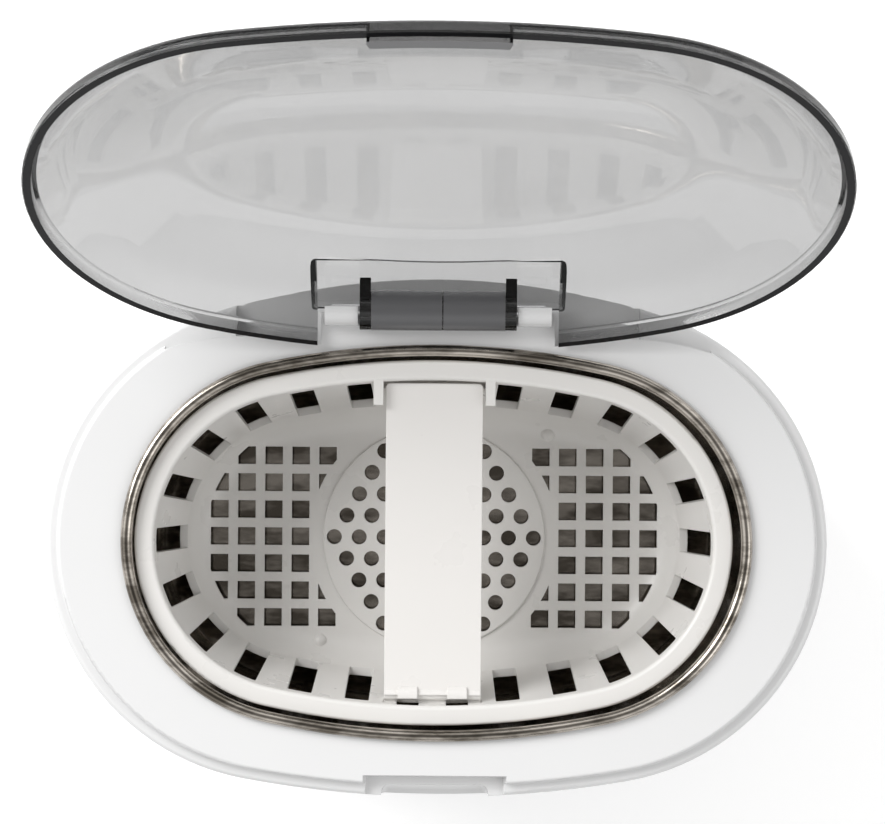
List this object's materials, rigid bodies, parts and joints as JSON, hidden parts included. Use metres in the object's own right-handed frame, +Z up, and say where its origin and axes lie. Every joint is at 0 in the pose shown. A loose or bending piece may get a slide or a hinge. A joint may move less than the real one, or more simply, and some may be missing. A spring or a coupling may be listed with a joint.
{
  "type": "ultrasonic cleaner",
  "caption": "Oval bench-top ultrasonic jewellery cleaner: stainless tank, lift-out slotted basket with flip-up handle, and a hinged smoke-grey lid standing open.",
  "frame": {"origin": "centre of the base cover's flat underside, at Z = 0; the rubber feet reach 3 mm below it", "axes": "+Z up, -Y towards the front with the finger scoop and control panel, +Y towards the lid hinge at the back, +X along the oval to the right"},
  "size_m": [0.205, 0.1931, 0.2332],
  "materials": {
    "housing": "glossy white moulding",
    "base": "satin white moulding",
    "feet": "matt black",
    "screws": "zinc plated",
    "pin": "ground",
    "tank": "drawn and polished stainless",
    "gasket": "matt black",
    "horn": "machined",
    "piezo": "fired, dark grey",
    "electrode": "thin sheet",
    "back_mass": "turned",
    "cutout": "moulded",
    "board": "green laminate",
    "ferrite": "dark ferrite",
    "coil_tape": "yellow tape",
    "coil_wire": "enamelled copper",
    "capacitor": "sleeved can",
    "film_cap": "dipped",
    "heat_sink": "extruded",
    "component": "moulded",
    "fuse": "glass with plated caps",
    "header": "moulded nylon",
    "panel": "satin grey fascia",
    "lens": "smoked lens",
    "inlet": "moulded black",
    "pins": "nickel plated",
    "lead": "insulated wire",
    "ribbon": "grey ribbon",
    "lid": "smoke-grey clear plastic",
    "basket": "warm white moulding",
    "handle": "warm white moulding",
    "button": "satin silver-grey"
  },
  "bodies": {
    "unit": {"top_housing": "housing", "base_cover": "base", "rubber_feet": "feet", "base_screws": "screws", "hinge_pin": "pin", "tank": "tank", "tank_gasket": "gasket", "transducer_horn": "horn", "piezo_rings": "piezo", "electrodes": "electrode", "transducer_back_mass": "back_mass", "transducer_bolt": "screws", "thermal_cutout": "cutout", "driver_board": "board", "board_screws": "screws", "transformer_core": "ferrite", "transformer_winding": "coil_tape", "output_inductor": "coil_wire", "main_capacitor": "capacitor", "film_capacitors": "film_cap", "heat_sink": "heat_sink", "power_transistors": "component", "glass_fuse": "fuse", "board_connectors": "header", "control_panel": "panel", "display_window": "lens", "control_board": "board", "control_screws": "screws", "display_module": "component", "tact_switches": "component", "power_inlet": "inlet", "inlet_pins": "pins", "mains_leads": "lead", "transducer_leads": "lead", "control_ribbon": "ribbon"},
    "lid": {"lid": "lid"},
    "basket": {"basket": "basket"},
    "handle": {"basket_handle": "handle"},
    "power_button": {"power_button": "button"},
    "timer_button": {"timer_button": "button"},
    "stop_button": {"stop_button": "button"}
  },
  "joints": [
    {"name": "lid_hinge", "type": "hinge", "parent": "unit", "child": "lid", "pos_m": [0, 0.0607, 0.1185], "axis": [-1, 0, 0], "range_deg": [-122, 0]},
    {"name": "basket_lift", "type": "slide", "parent": "unit", "child": "basket", "axis": [0, 0, 1], "range_m": [0, 0.08]},
    {"name": "handle_flip", "type": "hinge", "parent": "basket", "child": "handle", "pos_m": [-0.0008, -0.0401, 0.1081], "axis": [1, 0, 0], "range_deg": [0, 90]},
    {"name": "power_button_press", "type": "slide", "parent": "unit", "child": "power_button", "axis": [0, 1, 0], "range_m": [0, 0.0006], "stiffness_N_per_m": 600},
    {"name": "timer_button_press", "type": "slide", "parent": "unit", "child": "timer_button", "axis": [0, 1, 0], "range_m": [0, 0.0006], "stiffness_N_per_m": 600},
    {"name": "stop_button_press", "type": "slide", "parent": "unit", "child": "stop_button", "axis": [0, 1, 0], "range_m": [0, 0.0006], "stiffness_N_per_m": 600}
  ]
}
